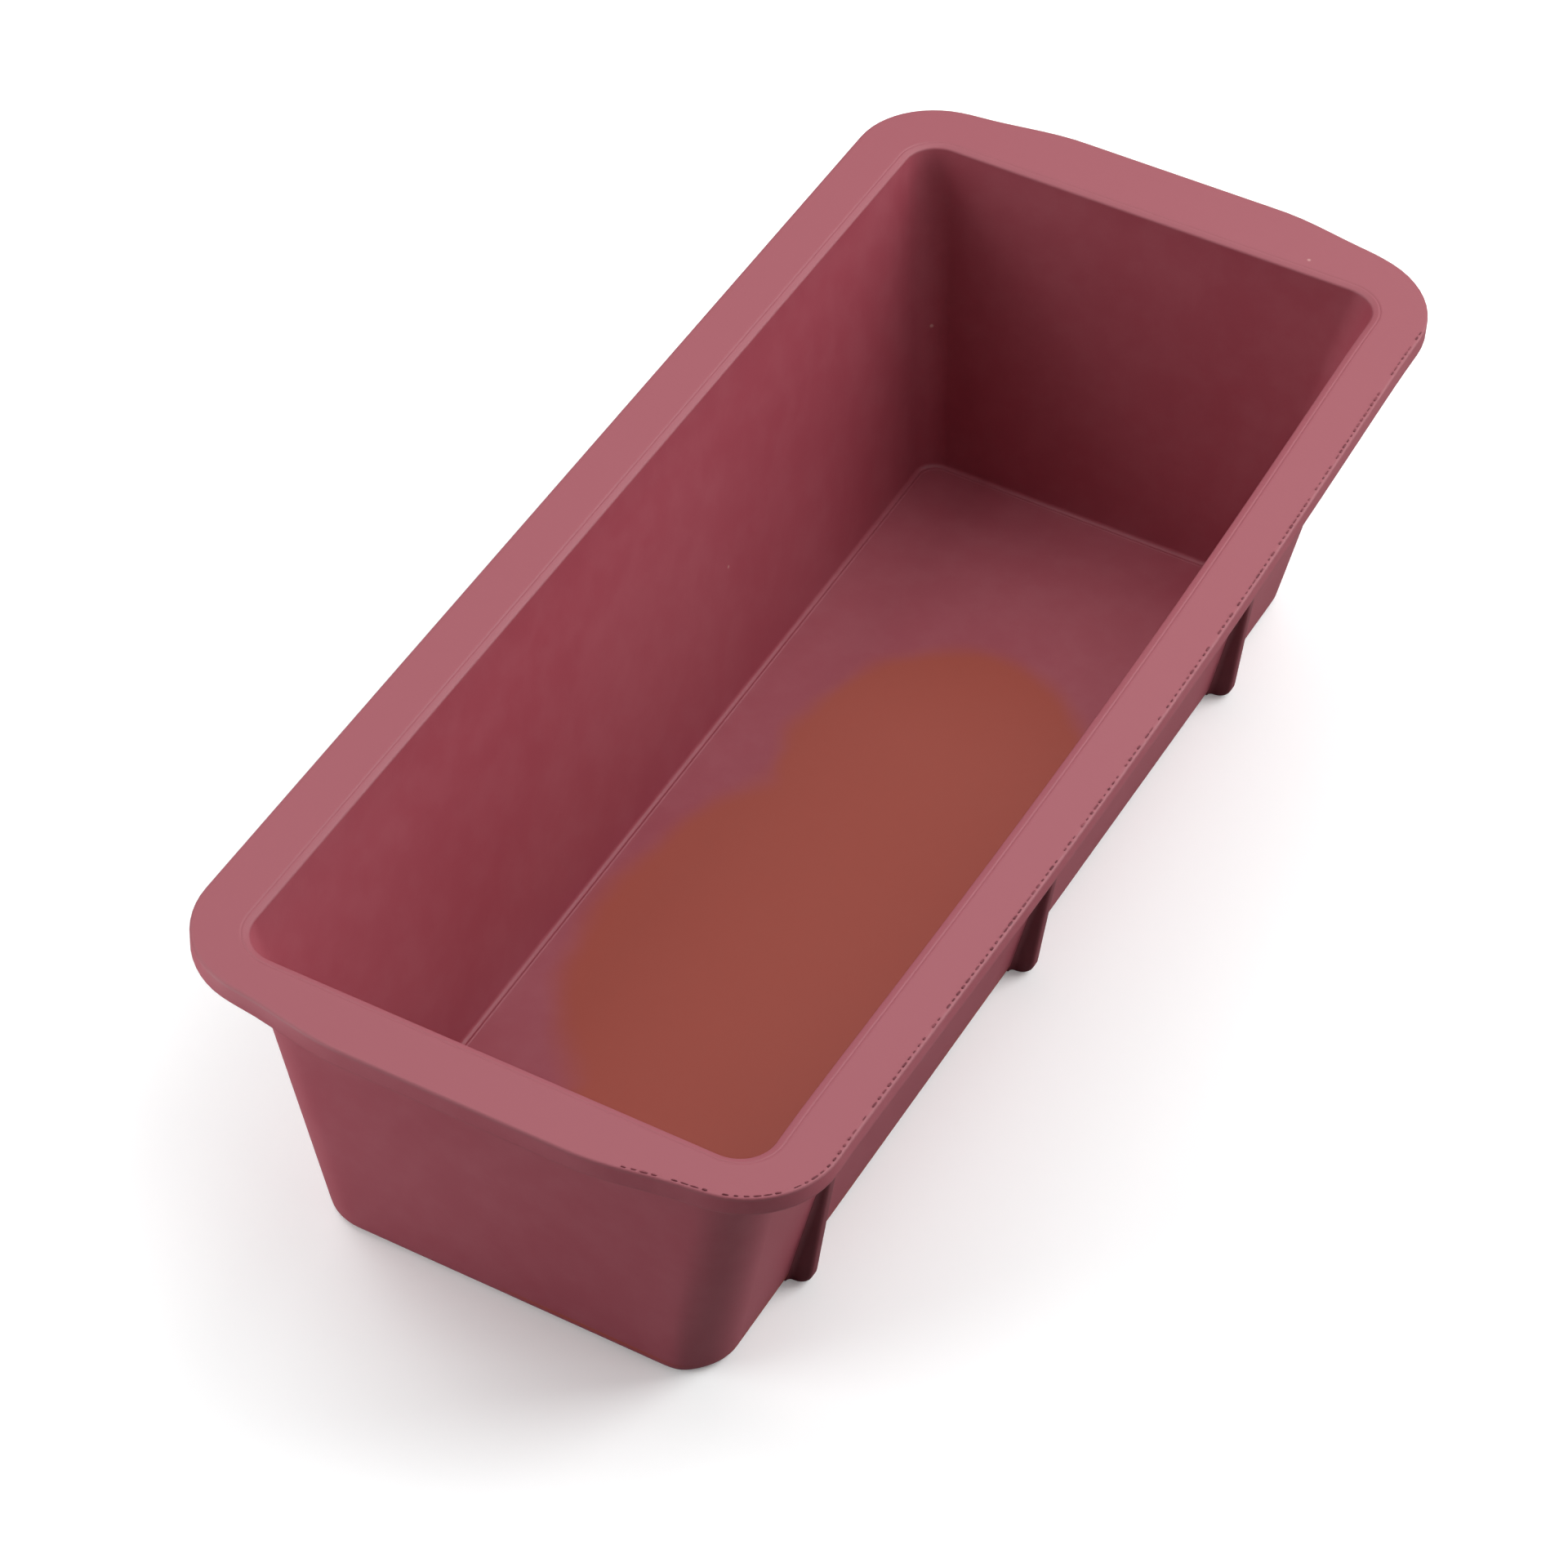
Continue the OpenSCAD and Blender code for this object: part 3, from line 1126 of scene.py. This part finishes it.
    def build(self, tree: bpy.types.NodeTree, bow: SoftSide, body: MouldBody, finish: bpy.types.Material
              ) -> bpy.types.Object:
        """Makes the line's crumbs.

        Args:
            tree: the tree from FlashLine.tree.
            bow: how far the soft side bows.
            body: the body whose edge the line follows.
            finish: the torn silicone.

        Returns:
            The finished piece.
        """
        form = self._form()
        line = chain(f"flash_line_{self.side.name.lower()}", self._path(body))
        grow(line, tree, {"Crumb": form, "Spacing": self.spacing * MM, "Kept": self.kept,
                          "Seed": self.seed, "Finish": finish, **bow.values()})
        discard(form)
        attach(line, "root")
        return line


# The studio


@dataclass(frozen=True)
class SoftBox:
    """A square studio light that faces the mould. Angles in degrees, sizes in metres."""

    name: str
    azimuth: float
    elevation: float
    power: float
    distance: float = 1.4
    size: float = 0.8
    aim: tuple[float, float, float] = (0.0, 0.0, 0.03)

    def build(self) -> bpy.types.Object:
        """Makes the light.

        Returns:
            The light's object.
        """
        data = bpy.data.lights.new(self.name, "AREA")
        data.shape = "SQUARE"
        data.size = self.size
        data.energy = self.power
        around, up = math.radians(self.azimuth), math.radians(self.elevation)
        outwards = Vector((math.cos(up) * math.cos(around), math.cos(up) * math.sin(around),
                           math.sin(up)))
        lamp = into_scene(self.name, data)
        lamp.location = Vector(self.aim) + outwards * self.distance
        lamp.visible_camera = False
        lamp.rotation_mode = "QUATERNION"
        lamp.rotation_quaternion = outwards.to_track_quat("Z", "Y")
        return lamp


@dataclass(frozen=True)
class StudioCamera:
    """The camera, with its place in metres, its angles in degrees and its lens and sensor in mm."""

    place: tuple[float, float, float] = (-0.5820, -0.2611, 0.6415)
    heading: float = 29.141
    down: float = 44.574
    roll: float = 1.011
    lens: float = 117.33
    sensor: float = 36.0
    shift_x: float = 0.1702
    shift_y: float = 0.0134

    def build(self) -> bpy.types.Object:
        """Makes the camera and gives it to the scene.

        Returns:
            The camera's object.
        """
        yaw, pitch, roll = (math.radians(v) for v in (self.heading, self.down, self.roll))
        forward = Vector((math.cos(yaw) * math.cos(pitch), math.sin(yaw) * math.cos(pitch),
                          -math.sin(pitch)))
        level = Vector((math.sin(yaw), -math.cos(yaw), 0.0))
        upright = level.cross(forward)
        right = math.cos(roll) * level + math.sin(roll) * upright
        up = -math.sin(roll) * level + math.cos(roll) * upright
        data = bpy.data.cameras.new("camera")
        data.lens = self.lens
        data.sensor_width = self.sensor
        data.shift_x = self.shift_x
        data.shift_y = self.shift_y
        data.dof.use_dof = False
        camera = into_scene("camera", data)
        turn = Matrix((right, up, -forward)).transposed().to_4x4()
        camera.matrix_world = Matrix.Translation(self.place) @ turn
        bpy.context.scene.camera = camera
        return camera


@dataclass(frozen=True)
class Studio:
    """A pale table, soft lights and the camera."""

    sky: float = 0.0
    table_size: float = 8.0
    lights: tuple[SoftBox, ...] = (
        SoftBox("low_front_left", 135, 22, 8.3),
        SoftBox("low_right", 270, 22, 3.7),
        SoftBox("low_back_right", 315, 22, 8.7),
        SoftBox("high_back", 0, 52, 4.8),
        SoftBox("high_left", 90, 52, 9.0),
        SoftBox("high_front", 180, 52, 0.7),
        SoftBox("high_right", 270, 52, 1.8),
        SoftBox("high_back_right", 315, 52, 8.6),
        SoftBox("top", 0, 88, 1.4),
        SoftBox("low_card", 123, 0, 0.115, distance=0.235, size=0.08, aim=(-0.08, -0.08, 0.012)),
    )

    def build(self) -> None:
        """Makes the table, the sky, the lights and the camera."""
        half = self.table_size / 2
        mesh = bpy.data.meshes.new("table")
        mesh.from_pydata([(-half, -half, 0), (half, -half, 0), (half, half, 0), (-half, half, 0)], [],
                         [(0, 1, 2, 3)])
        table = into_scene("table", mesh)
        table.data.materials.append(TableFinish().build())
        world = bpy.data.worlds.new("studio")
        world.use_nodes = True
        background = world.node_tree.nodes["Background"]
        background.inputs["Color"].default_value = (1.0, 1.0, 1.0, 1.0)
        background.inputs["Strength"].default_value = self.sky
        bpy.context.scene.world = world
        bpy.context.scene.view_settings.view_transform = "Standard"
        for light in self.lights:
            light.build()
        StudioCamera().build()


def report(piece: bpy.types.Object) -> None:
    """Logs one finished piece."""
    LOG.info("%s: %d faces", piece.name, len(piece.data.polygons))


def main() -> None:
    """Builds the mould, its finish and the studio."""
    logging.basicConfig(level=logging.INFO, format="%(name)s: %(message)s")
    shared = SharedPatterns()
    # Painted shade: the ribs take a copy of the silicone darkened to about half.
    shaded = SiliconeFinish("shaded_silicone", colour=(0.165, 0.029, 0.041),
                            bloom=(0.200, 0.042, 0.056)).build(shared)
    # The body's silicone carries the painted rim sheen and the painted orange-brown floor highlight.
    silicone = SiliconeFinish("silicone", highlight_drops=(
        HighlightDrop(-0.025, -0.005, 0.055, 0.036), HighlightDrop(0.030, -0.005, 0.035, 0.027),
        HighlightDrop(-0.075, -0.015, 0.045, 0.030))).build(shared)
    soft_side = bow_group()
    bow = SoftSide()
    body = MouldBody()
    report(body.build(soft_side, bow, silicone))
    rib_tree = FootRibs.tree(soft_side)
    for side in Side:
        report(FootRibs(side, body.outer).build(rib_tree, bow, shaded))
    torn = SiliconeFinish("torn_silicone", colour=(0.110, 0.014, 0.024), bloom=(0.270, 0.062, 0.080),
                          pattern_scale=7.0).build(shared)
    report(FlashLine(Side.RIGHT).build(FlashLine.tree(soft_side), bow, body, torn))
    Studio().build()


if __name__ == "__main__":
    main()
